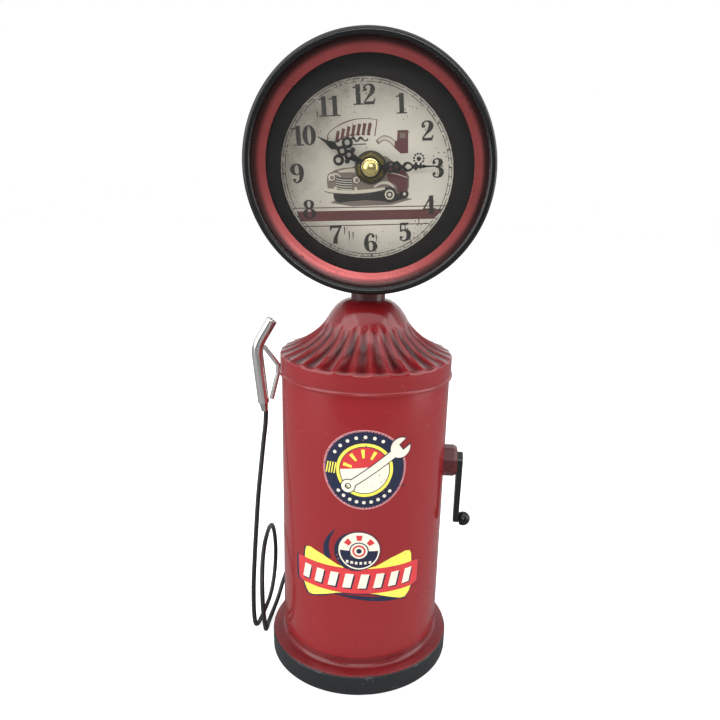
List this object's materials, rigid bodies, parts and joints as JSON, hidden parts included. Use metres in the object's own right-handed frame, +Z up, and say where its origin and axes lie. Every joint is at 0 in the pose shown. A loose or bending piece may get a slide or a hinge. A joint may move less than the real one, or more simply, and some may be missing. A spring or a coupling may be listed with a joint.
{
  "type": "table clock",
  "caption": "Round-headed table clock shaped like an old fuel pump, with a fluted dome cap, tube body, disc base, side crank, and a nozzle on a looped hose.",
  "frame": {"origin": "centre of the face that rests on the table, on the axis of the body tube", "axes": "+Z up, -Y is the front of the dial, +X towards the crank"},
  "size_m": [0.1178, 0.096, 0.3105],
  "materials": {
    "black_paint": "satin black stove enamel",
    "red_paint": "gloss brick-red enamel",
    "dark_red_paint": "gloss dark red enamel",
    "foam": "matt closed-cell foam",
    "steel": "zinc plated",
    "nickel": "bright nickel plate",
    "brass": "turned brass",
    "glass": "clear flat glass",
    "dial_print": "aged cream print",
    "black_plastic": "fine textured black moulding",
    "white_plastic": "natural acetal",
    "black_rubber": "smooth black rubber",
    "cell_wrap": "printed foil wrap",
    "board": "solder-mask green",
    "copper": "enamelled copper wire",
    "hand_black": "satin black",
    "washer_dark": "blackened"
  },
  "bodies": {
    "clock_frame": {"base_pad": "foam", "base_disc": "black_paint", "base_screws": "steel", "base_flange": "dark_red_paint", "body_tube": "red_paint", "dome_cap": "red_paint", "neck_tube": "dark_red_paint", "neck_bolt": "steel", "neck_washers": "steel", "neck_nut": "steel", "drum_shell": "red_paint", "front_bezel": "black_paint", "reflector_ring": "red_paint", "lens": "glass", "spacer_ring": "black_plastic", "dial_plate": "dial_print", "rear_rim": "black_paint", "rear_cover": "black_paint", "rear_screws": "steel", "movement_case": "black_plastic", "movement_cover": "black_plastic", "battery": "cell_wrap", "battery_contacts": "nickel", "circuit_board": "board", "coil": "copper", "stator": "steel", "threaded_bushing": "brass", "rubber_washer": "black_rubber", "dial_washer": "washer_dark", "hex_nut": "brass", "crank_boss": "dark_red_paint", "nozzle_tube": "nickel", "trigger_guard": "nickel", "nozzle_ferrule": "nickel", "hose_socket": "black_rubber", "hose": "black_rubber"},
    "minute_set": {"cannon_pinion": "brass", "minute_hand": "hand_black", "cap_nut": "brass"},
    "hour_set": {"hour_wheel": "white_plastic", "hour_hand": "hand_black"},
    "minute_wheel": {"minute_wheel": "white_plastic"},
    "setting_knob": {"setting_knob": "black_plastic"},
    "rotor": {"rotor": "steel"},
    "crank": {"crank_axle": "steel", "crank_clip": "steel", "crank_arm": "black_paint", "crank_knob": "black_paint"}
  },
  "joints": [
    {"name": "minute_turn", "type": "hinge", "parent": "clock_frame", "child": "minute_set", "pos_m": [0, 0, 0.255], "axis": [0, 1, 0], "continuous": true},
    {"name": "hour_turn", "type": "hinge", "parent": "clock_frame", "child": "hour_set", "pos_m": [0, 0, 0.255], "axis": [0, 1, 0], "continuous": true},
    {"name": "minute_wheel_turn", "type": "hinge", "parent": "clock_frame", "child": "minute_wheel", "pos_m": [0, 0, 0.265], "axis": [0, 1, 0], "continuous": true},
    {"name": "setting_turn", "type": "hinge", "parent": "clock_frame", "child": "setting_knob", "pos_m": [0.01202, 0, 0.26845], "axis": [0, 1, 0], "continuous": true},
    {"name": "rotor_turn", "type": "hinge", "parent": "clock_frame", "child": "rotor", "pos_m": [-0.011, 0, 0.2777], "axis": [0, 1, 0], "continuous": true},
    {"name": "crank_turn", "type": "hinge", "parent": "clock_frame", "child": "crank", "pos_m": [0, 0, 0.1119], "axis": [1, 0, 0], "continuous": true}
  ],
  "couplings": [
    {"joint": "hour_turn", "follows": "minute_turn", "ratio": 0.083333},
    {"joint": "minute_wheel_turn", "follows": "minute_turn", "ratio": -0.33333},
    {"joint": "setting_turn", "follows": "minute_turn", "ratio": 0.5}
  ]
}
